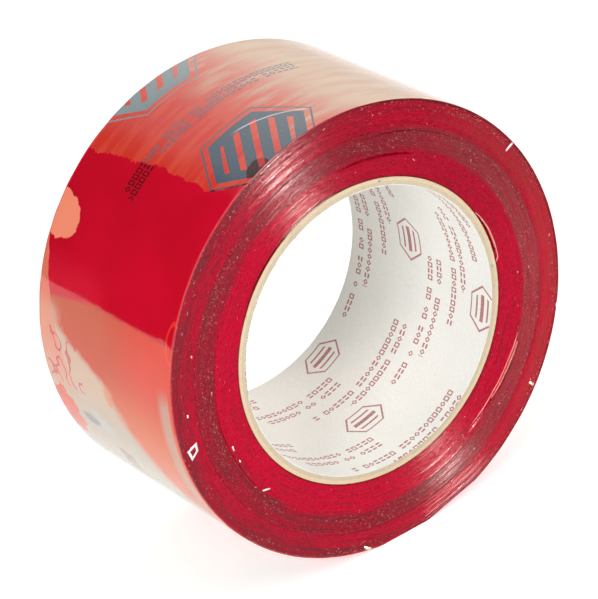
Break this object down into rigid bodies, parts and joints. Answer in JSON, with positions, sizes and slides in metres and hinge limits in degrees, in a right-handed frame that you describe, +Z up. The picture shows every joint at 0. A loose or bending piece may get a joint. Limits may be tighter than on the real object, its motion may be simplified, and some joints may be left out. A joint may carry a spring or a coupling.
{
  "type": "tape roll",
  "caption": "Roll of glossy film tape wound on a spiral paperboard core with a plain round bore, its free end lying on the roll and peeling up from it.",
  "frame": {"origin": "centre of the core's bore, at the middle of the tape's width", "axes": "+Y along the bore from the pictured side face to the hidden one, +Z up with the roll standing on the flat pressed into its rim, X level; angles run from +X towards +Z"},
  "size_m": [0.1204, 0.06, 0.1199],
  "materials": {
    "tape_film": "gloss",
    "liner_paper": "satin",
    "grey_chipboard": "matte",
    "kraft_board": "matte"
  },
  "bodies": {
    "roll": {"core_liner": "liner_paper", "core_ply_1": "grey_chipboard", "core_ply_2": "grey_chipboard", "core_ply_3": "kraft_board", "core_ply_4": "kraft_board", "tape_wraps_inner": "tape_film", "tape_wraps_middle": "tape_film", "tape_wraps_outer": "tape_film", "tape_last_turn": "tape_film"},
    "end_1": {"tape_end_1": "tape_film"},
    "end_2": {"tape_end_2": "tape_film"},
    "end_3": {"tape_end_3": "tape_film"},
    "end_4": {"tape_end_4": "tape_film"},
    "end_5": {"tape_end_5": "tape_film"},
    "end_6": {"tape_end_6": "tape_film"}
  },
  "joints": [
    {"name": "end_peel", "type": "hinge", "parent": "roll", "child": "end_1", "pos_m": [0.04474, 0, 0.04028], "axis": [0, -1, 0], "range_deg": [0, 50]},
    {"name": "end_bend_2", "type": "hinge", "parent": "end_1", "child": "end_2", "pos_m": [0.05105, 0, 0.0319], "axis": [0, -1, 0], "range_deg": [0, 12]},
    {"name": "end_bend_3", "type": "hinge", "parent": "end_2", "child": "end_3", "pos_m": [0.05582, 0, 0.02255], "axis": [0, -1, 0], "range_deg": [0, 12]},
    {"name": "end_bend_4", "type": "hinge", "parent": "end_3", "child": "end_4", "pos_m": [0.05888, 0, 0.01252], "axis": [0, -1, 0], "range_deg": [0, 12]},
    {"name": "end_bend_5", "type": "hinge", "parent": "end_4", "child": "end_5", "pos_m": [0.06016, 0, 0.0021], "axis": [0, -1, 0], "range_deg": [0, 12]},
    {"name": "end_bend_6", "type": "hinge", "parent": "end_5", "child": "end_6", "pos_m": [0.05961, 0, -0.00838], "axis": [0, -1, 0], "range_deg": [0, 12]}
  ],
  "couplings": [
    {"joint": "end_bend_2", "follows": "end_peel", "ratio": 0.24},
    {"joint": "end_bend_3", "follows": "end_peel", "ratio": 0.24},
    {"joint": "end_bend_4", "follows": "end_peel", "ratio": 0.24},
    {"joint": "end_bend_5", "follows": "end_peel", "ratio": 0.24},
    {"joint": "end_bend_6", "follows": "end_peel", "ratio": 0.24}
  ]
}
